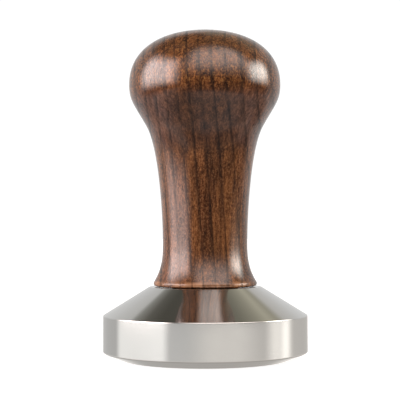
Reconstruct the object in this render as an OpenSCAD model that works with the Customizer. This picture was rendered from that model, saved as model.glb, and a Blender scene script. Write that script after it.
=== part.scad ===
// Espresso tamper: a turned wooden handle screwed on to a heavy 58 mm steel base.
// The axis is +Z and the origin is the centre of the base's flat tamping face.
// The screw threads are drawn as plain cylinders at their nominal diameter.

/* [Base] */
// Diameter of the base, which fits a 58 mm filter basket
base_d = 58; // [53:0.5:60]
// Radius of the tamping face, out to its corner with the bevel
face_r = 23.7; // [20:0.1:25]
// Height of the shallow bevel between the tamping face and the side
bevel_h = 2.1; // [1:0.1:3]
// Height of the upper rim, where the straight side and the cone would meet in a sharp corner
rim_z = 12.45; // [9:0.05:14]
// Height of the flat land at the top of the cone
land_z = 20.5; // [18:0.1:24]
// Radius of the land, out to the cone's own edge
land_r = 15.9; // [15:0.1:18]
// Rounding of the land's edge
land_round = 0.8; // [0.3:0.1:1.2]
// Rounding of the upper rim
rim_round = 0.2; // [0.2:0.1:1.5]
// Rounding of the corner between the side and the bevel
bevel_round = 0.4; // [0.2:0.1:0.8]
// Rounding of the corner between the bevel and the tamping face
face_round = 1; // [0.3:0.1:2]

/* [Handle] */
// Height of the top of the knob
top_z = 93.4; // [85:0.1:105]
// Largest radius of the knob
knob_r = 21.6; // [19:0.1:24]
// Height of the knob's largest radius
knob_z = 78; // [74:0.5:82]
// Radius of the neck, where the hollow flank turns into the round knob
neck_r = 16.6; // [14.5:0.1:17.5]
// Height of that turning point
neck_z = 66.1; // [63:0.1:68]
// Lean of the flank at the neck, in degrees from upright
neck_lean = 29; // [15:1:35]
// Radius of the waist
waist_r = 12.05; // [11:0.05:13]
// Height of the waist
waist_z = 33.4; // [31:0.1:38]
// Radius of the flared foot above its rounded lip
foot_r = 14.6; // [14:0.05:15]
// Lean of the flare at the foot, in degrees from upright
foot_lean = 32; // [20:1:45]
// Radius of the foot's rounded lip
lip_r = 0.8; // [0.5:0.1:1.2]
// Gap between the foot and the land, left by the washer
foot_gap = 0.15; // [0.1:0.05:0.4]

/* [Fixings] */
// Thread diameter of the stud
stud_d = 8; // [6:1:8]
// Length of the stud
stud_len = 30; // [28:0.5:32]
// Length of thread that is screwed into the base
engage = 12; // [8:0.5:13]
// Radial clearance of the thread in the base
thread_gap = 0.05; // [0.02:0.01:0.1]
// Width across the flats of the stud's hexagon socket
socket_af = 4; // [3:0.5:4]
// Depth of the hexagon socket
socket_depth = 4.5; // [3:0.5:6]
// Outer diameter of the brass insert
insert_d = 12; // [11:0.5:13]
// Length of the insert, flange included
insert_len = 15; // [12:0.5:16]
// Diameter of the insert's flange
flange_d = 15.5; // [14:0.5:17]
// Thickness of the insert's flange
flange_t = 1.2; // [0.8:0.1:2]
// Width of the screwdriver slot across the flange
slot_w = 1.6; // [1:0.1:2]
// Outer diameter of the washer
washer_d = 19; // [18:0.5:21]
// Thickness of the washer
washer_t = 1; // [0.5:0.1:1.5]

/* [Hidden] */
$fn = 180;

steel = [0.74, 0.74, 0.73];
wood = [0.33, 0.18, 0.10];
brass = [0.80, 0.64, 0.32];
zinc = [0.62, 0.63, 0.65];
rubber = [0.07, 0.07, 0.07];

base_r = base_d / 2;
stud_r = stud_d / 2;
insert_r = insert_d / 2;
seat_z = land_z + washer_t;              // underside of the insert and roof of the washer's recess
stud_z = land_z - engage;                // lower end of the stud
bore_depth = engage + 1.5;
drill_point = stud_r * tan(31);          // a 118 degree drill leaves this conical bottom
mouth = 0.6;                             // countersink at the mouth of a thread
washer_room = 0.3;                       // clear space around the washer
insert_room = 0.5;                       // glue space above the insert
stud_room = 1;                           // blind space above the stud
slot_depth = 1;
stud_chamfer = 0.8;
overcut = 1;                             // how far a cutter passes a face
curve_steps = 24;                        // straight steps in each curve of the handle
arc_steps = 8;                           // straight steps in each small rounding

// How full each curve of the handle is near its lower and its upper end
foot_pulls = [0.41, 0.30];               // from the foot to the waist
flank_pulls = [0.21, 0.22];              // from the waist to the neck
knob_pulls = [0.53, 0.36];               // from the neck to the knob
top_pulls = [0.41, 0.43];                // from the knob to the top

// A point at radius r and angle a around the centre c
function on_arc(c, r, a) = c + r * [cos(a), sin(a)];

// Rounds the corner b of the path a-b-c to radius r
function rounded(a, b, c, r) =
    let (u = (a - b) / norm(a - b))
    let (v = (c - b) / norm(c - b))
    let (half = acos(u * v) / 2)
    let (centre = b + r / sin(half) * (u + v) / norm(u + v))
    let (p = b + u * r / tan(half) - centre)
    let (q = b + v * r / tan(half) - centre)
    let (start = atan2(p.y, p.x))
    let (turn = atan2(p.x * q.y - p.y * q.x, p * q))
    [for (i = [0 : arc_steps]) on_arc(centre, r, start + turn * i / arc_steps)];

// A direction that leans a degrees outwards from +Z
function leaning(a) = [sin(a), cos(a)];

// A smooth curve from p to q that leaves p and reaches q at the given leans.
// The pulls say how far each end's direction is followed, as a share of the distance.
// The point p itself is left out, so that curves can be joined end to end.
function flowing(p, p_lean, p_pull, q, q_lean, q_pull) =
    let (reach = norm(q - p))
    let (p2 = p + leaning(p_lean) * reach * p_pull)
    let (q2 = q - leaning(q_lean) * reach * q_pull)
    [for (i = [1 : curve_steps])
        let (t = i / curve_steps)
        let (s = 1 - t)
        s * s * s * p + 3 * s * s * t * p2 + 3 * s * t * t * q2 + t * t * t * q];

// Outline of the base: tamping face, bevel, straight side, cone and land
function base_outline() =
    let (face = [face_r, 0])
    let (bevel = [base_r, bevel_h])
    let (rim = [base_r, rim_z])
    let (land = [land_r, land_z])
    concat(
        [[0, 0]],
        rounded([0, 0], face, bevel, face_round),
        rounded(face, bevel, rim, bevel_round),
        rounded(bevel, rim, land, rim_round),
        rounded(rim, land, [0, land_z], land_round),
        [[0, land_z]]
    );

// Outline of the handle from the underside of its foot, up the flank, to the top of the knob
function handle_outline() =
    let (lip = [foot_r - lip_r * cos(foot_lean), land_z + foot_gap + lip_r])
    let (foot = on_arc(lip, lip_r, foot_lean))
    let (waist = [waist_r, waist_z])
    let (neck = [neck_r, neck_z])
    let (knob = [knob_r, knob_z])
    let (top = [0, top_z])
    concat(
        [[0, lip.y - lip_r]],
        [for (i = [0 : arc_steps]) on_arc(lip, lip_r, -90 + (90 + foot_lean) * i / arc_steps)],
        flowing(foot, -foot_lean, foot_pulls[0], waist, 0, foot_pulls[1]),
        flowing(waist, 0, flank_pulls[0], neck, neck_lean, flank_pulls[1]),
        flowing(neck, neck_lean, knob_pulls[0], knob, 0, knob_pulls[1]),
        flowing(knob, 0, top_pulls[0], top, -90, top_pulls[1])
    );

// Cutter for a drilled hole of radius r that goes depth deep from z downwards
module drilled(r, z, depth) {
    translate([0, 0, z - depth])
        cylinder(r = r, h = depth + overcut);
    translate([0, 0, z - mouth])
        cylinder(r1 = r, r2 = r + mouth + overcut, h = mouth + overcut);
}

// Solid steel base with a blind threaded hole in its land
module base() {
    color(steel)
        difference() {
            rotate_extrude()
                polygon(base_outline());
            drilled(stud_r + thread_gap, land_z, bore_depth);
            translate([0, 0, land_z - bore_depth - drill_point])
                cylinder(r1 = 0, r2 = stud_r + thread_gap, h = drill_point);
        }
}

// Rubber washer that lies on the land and keeps the handle from working loose
module washer() {
    color(rubber)
        translate([0, 0, land_z])
            difference() {
                cylinder(d = washer_d, h = washer_t);
                translate([0, 0, -overcut])
                    cylinder(r = stud_r + washer_room, h = washer_t + 2 * overcut);
            }
}

// Turned handle, drilled from below for the washer, the insert and the stud
module handle() {
    color(wood)
        difference() {
            rotate_extrude()
                polygon(handle_outline());
            translate([0, 0, land_z])
                cylinder(d = washer_d + 2 * washer_room, h = washer_t);
            translate([0, 0, land_z])
                cylinder(d = flange_d, h = washer_t + flange_t);
            translate([0, 0, land_z])
                cylinder(r = insert_r, h = washer_t + insert_len + insert_room);
            translate([0, 0, stud_z])
                cylinder(r = stud_r + washer_room, h = stud_len + stud_room);
        }
}

// Brass insert, screwed and glued into the handle's foot, with a driving slot in its flange
module threaded_insert() {
    color(brass)
        difference() {
            translate([0, 0, seat_z]) {
                cylinder(r = insert_r, h = insert_len);
                cylinder(d = flange_d, h = flange_t);
            }
            translate([0, 0, seat_z - overcut])
                cylinder(r = stud_r, h = insert_len + 2 * overcut);
            translate([-flange_d, -slot_w / 2, seat_z - overcut])
                cube([2 * flange_d, slot_w, slot_depth + overcut]);
        }
}

// Headless screw with chamfered ends and a hexagon socket in its lower end
module stud() {
    tip_r = stud_r - stud_chamfer;
    color(zinc)
        translate([0, 0, stud_z])
            difference() {
                union() {
                    cylinder(r1 = tip_r, r2 = stud_r, h = stud_chamfer);
                    translate([0, 0, stud_chamfer])
                        cylinder(r = stud_r, h = stud_len - 2 * stud_chamfer);
                    translate([0, 0, stud_len - stud_chamfer])
                        cylinder(r1 = stud_r, r2 = tip_r, h = stud_chamfer);
                }
                translate([0, 0, -overcut])
                    cylinder(d = socket_af / cos(30), h = socket_depth + overcut, $fn = 6);
            }
}

base();
washer();
handle();
threaded_insert();
stud();
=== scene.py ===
"""Looks of the espresso tamper: turned pieces, materials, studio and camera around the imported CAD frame."""
import math

import bpy
import numpy as np
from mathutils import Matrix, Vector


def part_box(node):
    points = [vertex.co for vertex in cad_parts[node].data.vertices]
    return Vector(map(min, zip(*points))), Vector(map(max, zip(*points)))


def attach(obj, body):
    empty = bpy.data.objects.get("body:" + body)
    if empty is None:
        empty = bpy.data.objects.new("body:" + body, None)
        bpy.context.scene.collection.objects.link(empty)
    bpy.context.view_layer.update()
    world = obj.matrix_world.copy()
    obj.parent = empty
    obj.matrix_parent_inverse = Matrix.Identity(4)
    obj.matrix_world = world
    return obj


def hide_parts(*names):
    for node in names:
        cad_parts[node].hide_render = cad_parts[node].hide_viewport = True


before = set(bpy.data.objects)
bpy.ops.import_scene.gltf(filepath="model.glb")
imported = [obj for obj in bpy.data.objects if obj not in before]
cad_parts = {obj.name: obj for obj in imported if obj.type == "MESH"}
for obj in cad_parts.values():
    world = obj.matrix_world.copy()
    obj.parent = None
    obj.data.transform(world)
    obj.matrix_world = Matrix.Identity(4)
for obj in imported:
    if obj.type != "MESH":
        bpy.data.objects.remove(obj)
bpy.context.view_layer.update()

MM = 0.001
TURN = 2 * math.pi
SEGMENTS = 256                 # columns round a large turned piece
SMALL_SEGMENTS = 96            # and round a small one
CURVE_STEPS = 4                # rows of the handle's mesh for each row of its CAD outline
SAME_RING = 0.005              # mm; rings of the CAD mesh that are closer than this are one ring
PITCH = 1.25 * MM              # of the M8 thread
THREAD_DEPTH = 0.767 * MM      # from crest to root
ROWS_A_TURN = 10               # of the mesh, along the thread
THREAD_CREST = 0.14            # share of the pitch that is crest
THREAD_FLANKS = 0.62           # share of the pitch that is flank; the rest is root
BREAK_AT = 50                  # degrees; edges sharper than this aren't shaded smooth
BREAK_THREAD_AT = 35           # degrees, on the screw


# ---------------------------------------------------------------- camera

CAMERA_DISTANCE = 0.320
CAMERA_HEIGHT = 0.0367
CAMERA_TILT_UP = 1.507         # degrees
CAMERA_ROLL = 0.15             # degrees
CAMERA_ASIDE = 0.00145         # how far it stands to the left of the axis
LENS = 100.9                   # mm, on a 36 mm wide sensor


def add_camera():
    data = bpy.data.cameras.new("camera")
    data.sensor_width = 36
    data.lens = LENS
    data.clip_start = 0.01
    camera = bpy.data.objects.new("camera", data)
    camera.location = (-CAMERA_ASIDE, -CAMERA_DISTANCE, CAMERA_HEIGHT)
    camera.rotation_euler = (math.radians(90 + CAMERA_TILT_UP), math.radians(CAMERA_ROLL), 0)
    bpy.context.scene.collection.objects.link(camera)
    bpy.context.scene.camera = camera


# ---------------------------------------------------------------- outlines, read from the frame

def cad_rings(node):
    """The circles that a turned CAD node is made of, as (radius, height) rows that are all apart."""
    rows = {
        (round(math.hypot(v.co.x, v.co.y) / MM, 3), round(v.co.z / MM, 3))
        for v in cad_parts[node].data.vertices
    }
    rings = []
    for row in sorted(rows):
        if all(math.dist(row, ring) > SAME_RING for ring in rings):
            rings.append(row)
    return np.array(rings) * MM


def curve_through(points, steps):
    """A smooth curve through the points, by centripetal Catmull-Rom, with steps pieces between two points."""
    points = np.asarray(points, float)
    padded = np.vstack([2 * points[0] - points[1], points, 2 * points[-1] - points[-2]])
    curve = [points[0]]
    for p0, p1, p2, p3 in zip(padded, padded[1:], padded[2:], padded[3:]):
        t1 = math.sqrt(np.linalg.norm(p1 - p0))
        t2 = t1 + math.sqrt(np.linalg.norm(p2 - p1))
        t3 = t2 + math.sqrt(np.linalg.norm(p3 - p2))
        for t in np.linspace(t1, t2, steps + 1)[1:]:
            a1 = ((t1 - t) * p0 + t * p1) / t1
            a2 = ((t2 - t) * p1 + (t - t1) * p2) / (t2 - t1)
            a3 = ((t3 - t) * p2 + (t - t2) * p3) / (t3 - t2)
            b1 = ((t2 - t) * a1 + t * a2) / t2
            b2 = ((t3 - t) * a2 + (t - t1) * a3) / (t3 - t1)
            curve.append(((t2 - t) * b1 + (t - t1) * b2) / (t2 - t1))
    return np.array(curve)


def held(outline, gap):
    """Adds a row close to each end of the outline's long straight stretches, so that they shade flat."""
    out = [outline[0]]
    for a, b in zip(outline, outline[1:]):
        length = np.linalg.norm(b - a)
        if length > 4 * gap:
            out += [a + (b - a) * gap / length, b - (b - a) * gap / length]
        out.append(b)
    return np.array(out)


# ---------------------------------------------------------------- turned meshes

def thread_relief(crest_r, low, high):
    """Returns a rule that cuts a right-hand M8 thread into a wall between two heights."""
    def relief(r, z, angle):
        inside = (z > low) & (z < high)
        phase = (z / PITCH - angle / TURN) % 1.0
        ramp = np.clip((np.abs(phase - 0.5) * 2 - THREAD_CREST) / THREAD_FLANKS, 0, 1)
        cut = crest_r - THREAD_DEPTH * ramp
        return np.where(inside, np.minimum(r, cut), r)
    return relief


def turned(name, outline, segments, relief=None):
    """A closed mesh of turning. The outline runs from axis to axis, and relief may change each radius."""
    outline = np.asarray(outline, float)
    angle = np.arange(segments) * TURN / segments
    inner = outline[1:-1]
    r = np.repeat(inner[:, :1], segments, axis=1)
    z = np.repeat(inner[:, 1:], segments, axis=1)
    a = np.repeat(angle[None, :], len(inner), axis=0)
    if relief:
        r = relief(r, z, a)
    grid = np.stack([r * np.cos(a), r * np.sin(a), z], axis=2).reshape(-1, 3)
    first = len(grid)
    verts = np.vstack([grid, [[0, 0, outline[0][1]], [0, 0, outline[-1][1]]]])
    faces = []
    for j in range(segments):
        k = (j + 1) % segments
        faces.append((first, k, j))
        for i in range(len(inner) - 1):
            here, above = i * segments, (i + 1) * segments
            faces.append((here + j, here + k, above + k, above + j))
        last = (len(inner) - 1) * segments
        faces.append((first + 1, last + j, last + k))
    mesh = bpy.data.meshes.new(name)
    mesh.from_pydata(verts.tolist(), [], faces)
    mesh.validate()
    mesh.shade_smooth()
    piece = bpy.data.objects.new(name, mesh)
    bpy.context.scene.collection.objects.link(piece)
    return piece


def stand_in(piece, node, body, material):
    """Fixes a piece to its body, in place of a CAD node and material."""
    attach(piece, body)
    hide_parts(node)
    piece.data.materials.clear()
    piece.data.materials.append(material)


# ---------------------------------------------------------------- node helpers

class Graph:
    """Short forms for building a node tree."""

    def __init__(self, tree):
        self.tree = tree
        tree.nodes.clear()

    def add(self, kind, values=None, **settings):
        node = self.tree.nodes.new(kind)
        for key, value in settings.items():
            setattr(node, key, value)
        for key, value in (values or {}).items():
            self.feed(node.inputs[key], value)
        return node

    def feed(self, socket, value):
        if isinstance(value, bpy.types.NodeSocket):
            self.tree.links.new(value, socket)
        else:
            socket.default_value = value

    def math(self, operation, a, b=0.0):
        return self.add("ShaderNodeMath", {0: a, 1: b}, operation=operation).outputs[0]

    def product(self, first, *others):
        for other in others:
            first = self.math("MULTIPLY", first, other)
        return first

    def total(self, first, *others):
        for other in others:
            first = self.math("ADD", first, other)
        return first

    def radius(self, x, y):
        """Distance from the axis."""
        return self.math("SQRT", self.total(self.product(x, x), self.product(y, y)))

    def smooth(self, value, low, high, to_low=0.0, to_high=1.0):
        """Rises smoothly from to_low to to_high as value goes from low to high."""
        node = self.add(
            "ShaderNodeMapRange",
            {"Value": value, "From Min": low, "From Max": high, "To Min": to_low, "To Max": to_high},
            interpolation_type="SMOOTHSTEP",
        )
        return node.outputs[0]

    def mix(self, factor, a, b, blend="MIX"):
        node = self.add("ShaderNodeMix", data_type="RGBA", blend_type=blend, clamp_factor=True)
        self.feed(node.inputs[0], factor)
        self.feed(node.inputs[6], a)
        self.feed(node.inputs[7], b)
        return node.outputs[2]

    def ramp(self, value, stops):
        """Runs through the colours of the stops, which lie between 0 and 1."""
        node = self.add("ShaderNodeValToRGB", {"Fac": value})
        elements = node.color_ramp.elements
        while len(elements) < len(stops):
            elements.new(0.5)
        for element, (position, colour) in zip(elements, stops):
            element.position = position
            element.color = (*colour, 1)
        return node.outputs["Color"]

    def noise(self, vector, scale, detail, roughness):
        values = {"Vector": vector, "Scale": scale, "Detail": detail, "Roughness": roughness}
        return self.add("ShaderNodeTexNoise", values).outputs["Fac"]

    def stretched(self, vector, x, y, z):
        return self.add("ShaderNodeMapping", {"Vector": vector, "Scale": (x, y, z)}).outputs[0]

    def xyz(self, vector):
        return self.add("ShaderNodeSeparateXYZ", {0: vector}).outputs

    def vector(self, x, y, z):
        return self.add("ShaderNodeCombineXYZ", {0: x, 1: y, 2: z}).outputs[0]

    def tinted(self, colour, level):
        """The colour times a level."""
        return self.mix(1.0, colour, self.vector(level, level, level), "MULTIPLY")

    def bump(self, height, strength, distance):
        values = {"Strength": strength, "Distance": distance, "Height": height}
        return self.add("ShaderNodeBump", values).outputs[0]


def new_material(name):
    material = bpy.data.materials.new(name)
    material.use_nodes = True
    graph = Graph(material.node_tree)
    shader = graph.add("ShaderNodeBsdfPrincipled")
    graph.add("ShaderNodeOutputMaterial", {"Surface": shader.outputs[0]})
    place = graph.add("ShaderNodeTexCoord").outputs["Object"]
    return material, graph, shader, place


def grey(value):
    return (value, value, value, 1)


# ---------------------------------------------------------------- wood

LAYER = 3.25 * MM              # thickness of a growth layer in the middle of the wood
LAYER_COUNT = 2.43             # the layers' count at the axis
LAYER_GROWTH = 5.1             # how fast they thicken to the right
LEAN_UP, LEAN_BACK = 0.067, 0.059  # their shift to the side for each metre up and each metre back

# Ranges of height above the tamping face over which the stain, the painted shade of the hollow and the
# lacquer change, in metres
WORN_END = (0.034, 0.046)
HOLLOW_SHADE_START, HOLLOW_SHADE_END = (0.057, 0.062), (0.073, 0.077)
KNOB_START, KNOB_END = (0.071, 0.075), (0.081, 0.089)
CROWN_START = (0.082, 0.090)
GOLD_START = (0.074, 0.078)
FLANK_START = (0.005, 0.013)   # distance to either side over which the painted shade at the hollow's front gives way to its lighter flanks

# Ranges over which the two paler stretches end: sideways, at the top and at the bottom
LEFT_EDGE, LEFT_TOP = (-0.006, -0.003), (0.050, 0.060)
RIGHT_EDGE, RIGHT_TOP, RIGHT_BOTTOM = (0.0085, 0.0095), (0.059, 0.0605), (0.044, 0.050)

# Linear colours
DEEP_BROWN, BROWN = (0.094, 0.034, 0.013, 1), (0.155, 0.058, 0.021, 1)
TAN, PALE = (0.235, 0.094, 0.032, 1), (0.250, 0.102, 0.048, 1)
STREAK = (0.044, 0.018, 0.010, 1)
# painted shade of the hollow under the knob: its darker front, and its lighter flanks with a painted sheen
PLUM_SHADE, PLUM_SHADE_AND_SHEEN = (0.068, 0.033, 0.023, 1), (0.125, 0.066, 0.056, 1)
COOLER, WARMER = (0.92, 0.98, 1.05, 1), (1.15, 1.04, 0.90, 1)
COPPER, GOLD = (0.340, 0.170, 0.075, 1), (0.430, 0.215, 0.060, 1)
LATE_WOOD, PORE = (0.013, 0.008, 0.006, 1), (0.014, 0.008, 0.006, 1)
# the foot's lip: stain rubbed thin, with a painted reflection of the steel
RUBBED_AND_HIGHLIT = (0.38, 0.19, 0.095, 1)


def stained_wood():
    """Straight-grained wood, stained dark and lacquered. Its growth layers stand nearly upright."""
    material, g, shader, place = new_material("stained_wood")
    x, y, z = g.xyz(place)[:3]

    def grain(across, along, roughness, detail=3.0):
        """Noise with its own fineness across the wood and along it."""
        return g.noise(g.stretched(place, across, across, along), 1.0, detail, roughness)

    # distance through the growth layers, which lean, wander a little and get thicker from left to right
    wander = g.math("SUBTRACT", g.noise(g.stretched(place, 90, 60, 16), 1.0, 2.0, 0.5), 0.5)
    jitter = g.math("SUBTRACT", grain(600, 150, 0.6), 0.5)
    lean = g.math("SUBTRACT", g.product(z, LEAN_UP), g.product(y, LEAN_BACK))
    depth = g.total(x, lean, g.product(wander, 1.3 * MM), g.product(jitter, 0.5 * MM))
    bent = g.product(depth, g.math("SUBTRACT", 1.0, g.product(depth, LAYER_GROWTH)))
    layers = g.total(g.math("DIVIDE", bent, LAYER), LAYER_COUNT)
    layer = g.math("FRACT", layers)
    number = g.product(g.math("FLOOR", layers), 7.3)  # sets the layers' noises apart

    # late wood darkens slowly and ends sharply; layers differ in tone, and in strength along their length
    edge = g.smooth(layer, 0.0, 0.08, 1.0, 0.0)
    late = g.smooth(layer, 0.58, 1.0)
    late = g.product(late, late, 0.9)
    spread = g.noise(g.vector(number, 0.0, g.product(z, 70)), 1.0, 3.0, 0.6)
    broken = g.smooth(grain(900, 330, 0.7), 0.36, 0.60, 0.50, 1.0)
    line = g.product(g.math("MAXIMUM", edge, late), g.smooth(spread, 0.34, 0.58, 0.55, 1.0), broken)
    tone = g.smooth(g.noise(g.vector(number, 4.0, g.product(z, 20)), 1.0, 1.0, 0.5), 0.35, 0.65)

    # grain that runs up the handle: short dark and pale flecks, fibres, pores, fine ribs and a coarse streak
    speck = grain(2300, 1400, 0.8)
    fibre = grain(3200, 420, 0.7)
    pores = g.smooth(grain(2200, 620, 0.6, 2.0), 0.57, 0.67)
    rib = grain(1150, 40, 0.65)
    streak = grain(420, 20, 0.65)
    cloud = g.smooth(grain(120, 60, 0.65), 0.34, 0.66)

    # the hollow under the knob is painted as shade, darker and plainer, because it faces down; the knob shows
    # more grain
    hollow_shade = g.product(g.smooth(z, *HOLLOW_SHADE_START), g.smooth(z, *HOLLOW_SHADE_END, 1.0, 0.0))
    flank = g.smooth(g.math("ABSOLUTE", x), *FLANK_START)
    knob = g.product(g.smooth(z, *KNOB_START), g.smooth(z, *KNOB_END, 1.0, 0.0))
    contrast = g.product(g.smooth(hollow_shade, 0.0, 1.0, 1.0, 0.42), g.smooth(knob, 0.0, 1.0, 1.0, 1.5))
    patch = g.smooth(grain(480, 150, 0.6, 2.0), 0.36, 0.62, 0.45, 1.0)
    flecks = g.total(g.product(g.smooth(speck, 0.36, 0.65, -0.56, 0.55), contrast, patch), 1.0)

    # how light the fine grain leaves the stain; the front of the hollow is a little darker as painted shade,
    # and the crown is a little darker
    gain = g.product(
        flecks,
        g.smooth(rib, 0.38, 0.62, 1.22, 0.62),
        g.smooth(fibre, 0.42, 0.68, 1.08, 0.66),
        g.smooth(g.math("SUBTRACT", hollow_shade, flank), 0.0, 1.0, 1.0, 0.86),
        g.smooth(z, *CROWN_START, 1.0, 0.88),
    )

    # two paler stretches, low on the left and high on the right
    rough_x = g.total(x, g.product(jitter, 4 * MM))
    pale_left = g.product(g.smooth(rough_x, *LEFT_EDGE, 1.0, 0.0), g.smooth(z, *LEFT_TOP, 1.0, 0.0))
    pale_right = g.product(
        g.smooth(rough_x, *RIGHT_EDGE), g.smooth(z, *RIGHT_TOP, 1.0, 0.0), g.smooth(z, *RIGHT_BOTTOM))
    pale = g.math("MAXIMUM", pale_left, g.product(pale_right, 0.8))

    brown = g.mix(cloud, DEEP_BROWN, BROWN)
    brown = g.mix(g.product(tone, 0.50), brown, TAN)
    brown = g.mix(g.smooth(streak, 0.42, 0.64, 0.0, 0.65), brown, STREAK)
    brown = g.mix(g.product(pale, 0.42), brown, PALE)
    # painted shade: the hollow, which faces down, turns darker and plum, darkest at its front and lighter on
    # its flanks with a painted sheen
    brown = g.mix(g.product(hollow_shade, 0.55), brown, g.mix(flank, PLUM_SHADE, PLUM_SHADE_AND_SHEEN))
    warmth = g.mix(g.smooth(knob, 0.0, 1.0, 0.35, 1.0), COOLER, WARMER)
    brown = g.tinted(g.mix(1.0, brown, warmth, "MULTIPLY"), gain)
    fleck = g.product(g.smooth(speck, 0.50, 0.66), contrast, 0.30)
    brown = g.mix(fleck, brown, g.mix(g.smooth(z, *GOLD_START), COPPER, GOLD))
    brown = g.mix(g.product(line, 0.92), brown, LATE_WOOD)
    brown = g.mix(g.product(pores, 0.50), brown, PORE)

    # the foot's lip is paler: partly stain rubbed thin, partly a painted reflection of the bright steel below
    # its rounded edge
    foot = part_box("handle")[0].z
    rub_and_highlight = g.product(
        g.smooth(z, foot + 0.2 * MM, foot + 0.6 * MM),
        g.smooth(z, foot + 1.1 * MM, foot + 2.0 * MM, 1.0, 0.0),
        g.smooth(g.noise(place, 200, 3.0, 0.6), 0.40, 0.60, 0.10, 0.9),
        g.smooth(line, 0.1, 0.7, 1.0, 0.3),
    )
    g.feed(shader.inputs["Base Color"], g.mix(rub_and_highlight, brown, RUBBED_AND_HIGHLIT))
    g.feed(shader.inputs["Roughness"], g.smooth(fibre, 0.3, 0.7, 0.42, 0.58))

    # the lacquer sinks into the pores and the soft edges of the layers, and is worn thinner low down
    sunk = g.math("MAXIMUM", g.product(line, 0.40), g.smooth(gain, 0.7, 0.1, 0.0, 0.3))
    sunk = g.math("MAXIMUM", sunk, g.product(pores, 0.35))
    worn = g.smooth(z, *WORN_END, 0.83, 1.0)
    shader.inputs["Specular IOR Level"].default_value = 0.0
    g.feed(shader.inputs["Coat Weight"], g.product(g.smooth(sunk, 0.0, 1.0, 1.0, 0.0), worn))
    shader.inputs["Coat Roughness"].default_value = 0.16
    shader.inputs["Coat IOR"].default_value = 1.5

    height = g.math("SUBTRACT", g.product(fibre, 0.3), g.product(pores, 0.7))
    g.feed(shader.inputs["Normal"], g.bump(height, 0.30, 0.05 * MM))
    soft = g.math("SUBTRACT", grain(1100, 420, 0.6), g.product(sunk, 0.5))
    g.feed(shader.inputs["Coat Normal"], g.bump(soft, 0.30, 0.05 * MM))
    return material


# ---------------------------------------------------------------- metal and rubber

def turned_metal(name, colour, roughness, line_strength, line_scale):
    """Metal with fine circular tool marks about the axis."""
    material, g, shader, place = new_material(name)
    x, y, z = g.xyz(place)[:3]
    rings = g.vector(g.product(g.radius(x, y), line_scale), 0.0, g.product(z, line_scale))
    marks = g.noise(rings, 1.0, 3.0, 0.7)
    smear = g.noise(g.stretched(place, 90, 90, 140), 1.0, 3.0, 0.6)
    duller = (*(c * 0.93 for c in colour), 1)
    g.feed(shader.inputs["Base Color"], g.mix(g.product(smear, 0.6), (*colour, 1), duller))
    shader.inputs["Metallic"].default_value = 1.0
    rough = g.smooth(smear, 0.3, 0.7, roughness * 0.8, roughness * 1.2)
    g.feed(shader.inputs["Roughness"], g.total(rough, g.product(marks, roughness * 0.3)))
    g.feed(shader.inputs["Normal"], g.bump(marks, line_strength, 0.02 * MM))
    return material


def black_rubber():
    material, g, shader, place = new_material("black_rubber")
    grain = g.noise(place, 3000, 3.0, 0.6)
    g.feed(shader.inputs["Base Color"], g.mix(grain, grey(0.012), grey(0.03)))
    g.feed(shader.inputs["Roughness"], g.smooth(grain, 0.3, 0.7, 0.55, 0.75))
    g.feed(shader.inputs["Normal"], g.bump(grain, 0.4, 0.03 * MM))
    return material


# ---------------------------------------------------------------- pieces

def add_handle():
    """The turned handle, with the recess, counterbore and bores in its underside."""
    rings = cad_rings("handle")

    # the recess for the washer is the widest thing cut from below
    bored = max(r for r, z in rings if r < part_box("washer")[1].x * 1.1)
    in_bore = (rings[:, 0] <= bored) & (rings[:, 1] < 0.5 * rings[:, 1].max())
    inside, outside = rings[in_bore], rings[~in_bore]
    inside = inside[np.lexsort((inside[:, 1], -inside[:, 0]))]
    outside = outside[np.argsort(outside[:, 1])]
    flats = held(np.vstack([inside[::-1], outside[:1]]), 0.15 * MM)
    outline = np.vstack([flats[:-1], curve_through(outside, CURVE_STEPS)])
    piece = turned("turned_handle", outline, SEGMENTS)
    piece.data.set_sharp_from_angle(angle=math.radians(BREAK_AT))
    stand_in(piece, "handle", "handle", stained_wood())


def add_base():
    """The solid base, with a tapped blind hole in its land."""
    rings = cad_rings("base")
    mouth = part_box("stud")[1].x + 1 * MM
    in_hole = (rings[:, 0] <= mouth) & (rings[:, 1] > 1 * MM)
    hole, outside = rings[in_hole], rings[~in_hole]
    hole = hole[np.argsort(-hole[:, 1])]

    # the outside runs anticlockwise about a point within the section, from the axis at the tamping face
    within_r, within_z = 0.4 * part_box("base")[1].x, 0.4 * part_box("base")[1].z
    spin = np.arctan2(outside[:, 1] - within_z, outside[:, 0] - within_r)
    start = math.atan2(-within_z, -within_r)
    outside = outside[np.argsort((spin - start) % TURN)]

    # the hole's wall gets rows that are close enough to show the thread
    top, bottom = hole[1][1], hole[2][1]
    rows = np.arange(top - 0.1 * MM, bottom + 1 * MM, -PITCH / ROWS_A_TURN)
    wall = np.stack([np.full(len(rows), hole[1][0]), rows], axis=1)
    outline = np.vstack([held(outside, 0.1 * MM), hole[:2], wall, hole[2:]])
    piece = turned("steel_base", outline, SEGMENTS, thread_relief(hole[1][0], bottom + 1.2 * MM, top))
    piece.data.set_sharp_from_angle(angle=math.radians(BREAK_AT))
    steel = turned_metal("polished_steel", (0.62, 0.61, 0.59), 0.075, 0.04, 2500)
    stand_in(piece, "base", "base", steel)


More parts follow.
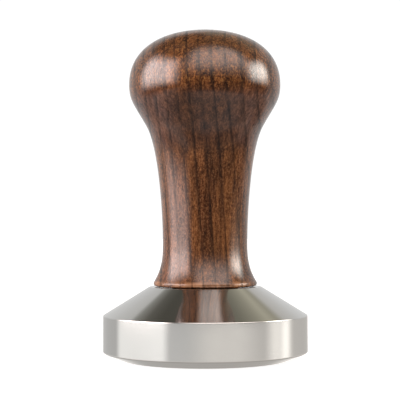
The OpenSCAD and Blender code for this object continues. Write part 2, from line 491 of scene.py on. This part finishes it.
def add_washer():
    """A rubber ring with rounded edges."""
    low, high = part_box("washer")
    hole = min(cad_rings("washer")[:, 0])
    round_r = 0.25 * (high.z - low.z)
    steps = 4                      # in each rounded corner
    corners = [(hole, low.z, -1, -1), (high.x, low.z, 1, -1), (high.x, high.z, 1, 1), (hole, high.z, -1, 1)]
    section = []
    for r, z, out, up in corners:
        first = math.atan2(up, out) - math.pi / 4
        for k in range(steps + 1):
            a = first + k * math.pi / 2 / steps
            centre = np.array([r - out * round_r, z - up * round_r])
            section.append(centre + round_r * np.array([math.cos(a), math.sin(a)]))
    angle = np.arange(SMALL_SEGMENTS) * TURN / SMALL_SEGMENTS
    verts = [(r * math.cos(a), r * math.sin(a), z) for r, z in section for a in angle]
    rows, n = len(section), SMALL_SEGMENTS
    faces = [
        (i * n + j, i * n + (j + 1) % n, (i + 1) % rows * n + (j + 1) % n, (i + 1) % rows * n + j)
        for i in range(rows) for j in range(n)
    ]
    mesh = bpy.data.meshes.new("rubber_washer")
    mesh.from_pydata(verts, [], faces)
    mesh.shade_smooth()
    piece = bpy.data.objects.new("rubber_washer", mesh)
    bpy.context.scene.collection.objects.link(piece)
    stand_in(piece, "washer", "washer", black_rubber())


def add_stud():
    """The headless screw: a real helical thread, chamfered ends and a hexagon socket."""
    low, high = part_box("stud")
    crest = high.x
    rings = cad_rings("stud")
    socket = rings[rings[:, 0] < 0.7 * crest]
    flat = socket[:, 0].max() * math.cos(math.pi / 6)
    floor_z = socket[:, 1].max()
    tip = min(r for r, z in rings if abs(z - low.z) < 1e-6 and r > 0.7 * crest)
    chamfer = crest - tip
    rows = np.arange(low.z + chamfer, high.z - chamfer, PITCH / ROWS_A_TURN)
    wall = np.stack([np.full(len(rows), crest), rows], axis=1)
    mouth = flat / math.cos(math.pi / 6)
    dip, slope = 0.4 * MM, 0.15 * MM   # the drilled end's depth past the socket, at the axis and beside it
    outline = np.vstack([
        [[0, floor_z + dip], [0.6 * flat, floor_z + slope], [flat * 0.97, floor_z], [flat, floor_z]],
        [[flat, low.z + 0.5 * MM], [mouth * 1.06, low.z], [tip, low.z]],
        [[(tip + crest) / 2, low.z + chamfer / 2]], wall, [[crest, high.z - chamfer]],
        [[(tip + crest) / 2, high.z - chamfer / 2], [tip, high.z], [0, high.z]],
    ])
    thread = thread_relief(crest, low.z + 0.3 * chamfer, high.z - 0.3 * chamfer)

    def relief(r, z, angle):
        """Spreads the socket's round wall to a hexagon, and cuts the thread outside."""
        in_socket = (r <= flat * 1.001) & (r >= flat * 0.96) & (z < floor_z + 0.1 * MM)
        hexagon = flat / np.cos((angle + math.pi / 6) % (math.pi / 3) - math.pi / 6)
        return np.where(in_socket, hexagon * r / flat, thread(r, z, angle))

    piece = turned("threaded_stud", outline, SMALL_SEGMENTS, relief)
    piece.data.set_sharp_from_angle(angle=math.radians(BREAK_THREAD_AT))
    zinc = turned_metal("zinc_steel", (0.60, 0.61, 0.63), 0.30, 0.25, 4000)
    stand_in(piece, "stud", "handle", zinc)


def finish_insert():
    """The brass insert keeps its CAD shape, with its edges broken."""
    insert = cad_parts["threaded_insert"]
    edge = insert.modifiers.new("edge", "BEVEL")
    edge.width = 0.12 * MM
    edge.segments = 2
    edge.limit_method = "ANGLE"
    edge.angle_limit = math.radians(BREAK_AT)
    brass = turned_metal("brass", (0.78, 0.56, 0.24), 0.26, 0.3, 3000)
    insert.data.materials.clear()
    insert.data.materials.append(brass)


# ---------------------------------------------------------------- studio

# Directions are in degrees. Those to the side are 0 towards the camera and positive to the right, and
# heights are above the horizon. A brightness of 1 is white.
SEEN_BACKGROUND = 1.05
OLIVE = (1.0, 0.95, 0.76)

# Backdrop on the left and on the right: each stop's height, brightness and tint, upwards from the horizon
HORIZON = (0.75, 0.755, 0.75)
BACKDROP = (
    ((22, 0.75, (1, 1, 1)), (39, 0.67, (1, 1, 0.98)), (42, 0.34, (1, 1, 0.93)),
     (46, 0.24, (1, 0.97, 0.88)), (49, 0.15, (1, 0.96, 0.84)), (56, 0.10, (1, 0.95, 0.8))),
    ((20, 0.76, (1, 1, 1)), (36, 0.66, (1, 0.98, 0.94)), (41, 0.42, OLIVE),
     (46.5, 0.56, OLIVE), (52, 0.40, OLIVE), (61, 0.22, OLIVE)),
)
# Soft boxes: range to the side, range of height, softness of the edge, and colour
PANELS = (
    ((-106, -46), (-3, 37), 13, (11.2, 9.8, 9.6)),
    ((73, 107), (5.5, 27.5), 10, (15.5, 14.8, 13.7)),
    ((-28, 74), (22, 72), 19, (4.7, 4.2, 4.0)),
)
# Upright bands: range to the side, softness of the edge, and brightness, which is added to the one between
BETWEEN_BANDS = 0.64
BANDS = (
    ((-113, -44), 6, 0.66), ((-60, 130), 25, 0.12), ((-5, 50), 18, 0.24),
    ((75, 108), 9, 0.55), ((94, 106), 5, 0.44),
)
# Colours of the table's painted glow and its gloss in a mirror
GLOW_LEFT, GLOW_RIGHT = (0.985, 0.975, 0.96, 1), (1.0, 0.955, 0.905, 1)
GLOSS_LEFT, GLOSS_RIGHT = (0.048, 0.058, 0.062, 1), (0.098, 0.103, 0.111, 1)
GLOSS_NEAR, GLOSS_FAR = 0.03, 0.020


def add_world():
    """A bright backdrop under a dim ceiling, with soft boxes."""
    world = bpy.data.worlds.new("studio")
    world.use_nodes = True
    bpy.context.scene.world = world
    g = Graph(world.node_tree)
    x, y, z = g.xyz(g.add("ShaderNodeTexCoord").outputs["Generated"])[:3]
    height = g.product(g.math("ARCSINE", z), math.degrees(1))
    side = g.product(g.math("ARCTAN2", x, g.product(y, -1.0)), math.degrees(1))

    def band(value, low, high, soft):
        up = g.smooth(value, low - soft, low + soft)
        down = g.smooth(value, high - soft, high + soft, 1.0, 0.0)
        return g.product(up, down)

    def rising(stops):
        colours = [(up / 90, tuple(level * c for c in tint)) for up, level, tint in stops]
        return g.ramp(g.math("DIVIDE", height, 90), [(0.0, HORIZON), *colours])

    ceiling = g.mix(g.smooth(side, -20, 60), (0.20, 0.195, 0.185, 1), (0.28, 0.265, 0.235, 1))
    front = g.mix(g.smooth(height, 0, 12), grey(0.06), ceiling)
    backdrop = g.mix(g.smooth(side, -30, 30), *(rising(stops) for stops in BACKDROP))
    colour = g.mix(g.smooth(g.math("ABSOLUTE", side), 100, 125), front, backdrop)
    for side_range, height_range, soft, tint in PANELS:
        panel = g.product(band(side, *side_range, soft), band(height, *height_range, soft))
        colour = g.mix(panel, colour, (*tint, 1))

    # a nearly level mirror looks through the table top, and sees bands that are the same at any height
    level = BETWEEN_BANDS
    for side_range, soft, strength in BANDS:
        level = g.total(g.product(band(side, *side_range, soft), strength), level)
    tint = g.mix(g.smooth(side, -30, 10), (0.99, 0.985, 0.975, 1), (1.0, 0.965, 0.925, 1))
    path = g.add("ShaderNodeLightPath").outputs
    colour = g.mix(g.smooth(path["Transparent Depth"], 0.0, 1.0), colour, g.tinted(tint, level))

    # the room lights dull surfaces less than it shows in mirrors, and the camera sees plain white
    lighting = g.mix(path["Is Glossy Ray"], g.mix(0.55, colour, grey(0.0)), colour)
    seen = g.mix(path["Is Camera Ray"], lighting, grey(SEEN_BACKGROUND))
    background = g.add("ShaderNodeBackground", {"Color": seen})
    g.add("ShaderNodeOutputWorld", {"Surface": background.outputs[0]})


def lit_paper():
    """Pale table top that glows, faintly in the light it gives and strongly for the camera. In a mirror it
    shows a painted glow and a gloss of its own instead.
    """
    material, g, shader, place = new_material("lit_paper")
    path = g.add("ShaderNodeLightPath").outputs
    g.feed(shader.inputs["Base Color"], g.mix(g.noise(place, 40, 3.0, 0.5), grey(0.52), grey(0.56)))
    shader.inputs["Roughness"].default_value = 0.9
    shader.inputs["Specular IOR Level"].default_value = 0.0
    shader.inputs["Emission Color"].default_value = grey(1.0)
    g.feed(shader.inputs["Emission Strength"], g.smooth(path["Is Camera Ray"], 0, 1, 0.10, 0.80))

    # in a mirror it shows a painted glow, most at a shallow angle and near the tamper, and painted pools of
    # light at the rear where the soft boxes stand
    x, y = g.xyz(place)[:2]
    radius = g.radius(x, y)
    facing = g.add("ShaderNodeLayerWeight", {"Blend": 0.5}).outputs["Facing"]
    shallow = g.product(g.smooth(facing, 0.55, 0.88), 0.62)
    near = g.smooth(radius, 0.034, 0.050, 0.52, 0.0)
    ring = g.smooth(radius, 0.112, 0.134, 0.27, 0.05)
    rear = g.smooth(y, 0.0, 0.05)
    left_edge = g.smooth(x, -0.165, -0.13, 0.3, 1.0)
    left_spill = g.product(g.smooth(x, -0.15, -0.08, 0.75, 0.0), g.math("MAXIMUM", rear, left_edge))
    right_spill = g.product(g.smooth(x, 0.09, 0.16, 0.0, 0.30), rear)
    spill = g.math("MAXIMUM", g.math("MAXIMUM", left_spill, right_spill), ring)
    glow = g.product(g.total(shallow, g.math("MAXIMUM", spill, near)), g.smooth(y, 0.0, 0.045, 1.0, 0.66))

    # the glow is cooler on the left, and the gloss is weaker there; the gloss is strongest in a wide ring
    right = g.smooth(x, -0.06, 0.02)
    light = g.add("ShaderNodeEmission", {"Color": g.mix(right, GLOW_LEFT, GLOW_RIGHT), "Strength": glow})
    gloss = g.mix(g.smooth(radius, 0.045, 0.080), grey(GLOSS_NEAR), g.mix(right, GLOSS_LEFT, GLOSS_RIGHT))
    gloss = g.mix(g.smooth(radius, 0.120, 0.155), gloss, grey(GLOSS_FAR))
    sheen = g.add("ShaderNodeBsdfAnisotropic", {"Color": gloss, "Roughness": 0.15})
    gleam = g.add("ShaderNodeAddShader", {0: light.outputs[0], 1: sheen.outputs[0]})

    # nearly level mirror rays pass through it to the bands behind
    through = g.add("ShaderNodeBsdfTransparent")
    level = g.smooth(facing, 0.84, 0.89)
    mirrored = g.add("ShaderNodeMixShader", {0: level, 1: gleam.outputs[0], 2: through.outputs[0]})
    seen = g.add(
        "ShaderNodeMixShader", {0: path["Is Glossy Ray"], 1: shader.outputs[0], 2: mirrored.outputs[0]})
    output = next(n for n in material.node_tree.nodes if n.type == "OUTPUT_MATERIAL")
    g.feed(output.inputs["Surface"], seen.outputs[0])
    return material


def add_floor():
    """A round table top under the tamper, and the same paper beyond it, which mirrors don't see."""
    plate_r, far_r = 0.21, 4.0     # metres
    angle = np.arange(SEGMENTS) * TURN / SEGMENTS
    circle = np.stack([np.cos(angle), np.sin(angle), 0 * angle], axis=1)
    ring = [(j, (j + 1) % SEGMENTS, (j + 1) % SEGMENTS + SEGMENTS, j + SEGMENTS) for j in range(SEGMENTS)]
    paper = lit_paper()
    for name, verts, faces in (
        ("floor_plate", circle * plate_r, [tuple(range(SEGMENTS))]),
        ("floor", np.vstack([circle * plate_r, circle * far_r]), [face[::-1] for face in ring]),
    ):
        mesh = bpy.data.meshes.new(name)
        mesh.from_pydata(verts.tolist(), [], faces)
        mesh.materials.append(paper)
        floor = bpy.data.objects.new(name, mesh)
        bpy.context.scene.collection.objects.link(floor)
        floor.visible_glossy = name == "floor_plate"


add_camera()
add_handle()
add_base()
add_washer()
add_stud()
finish_insert()
add_world()
add_floor()
bpy.context.scene.view_settings.view_transform = "Standard"
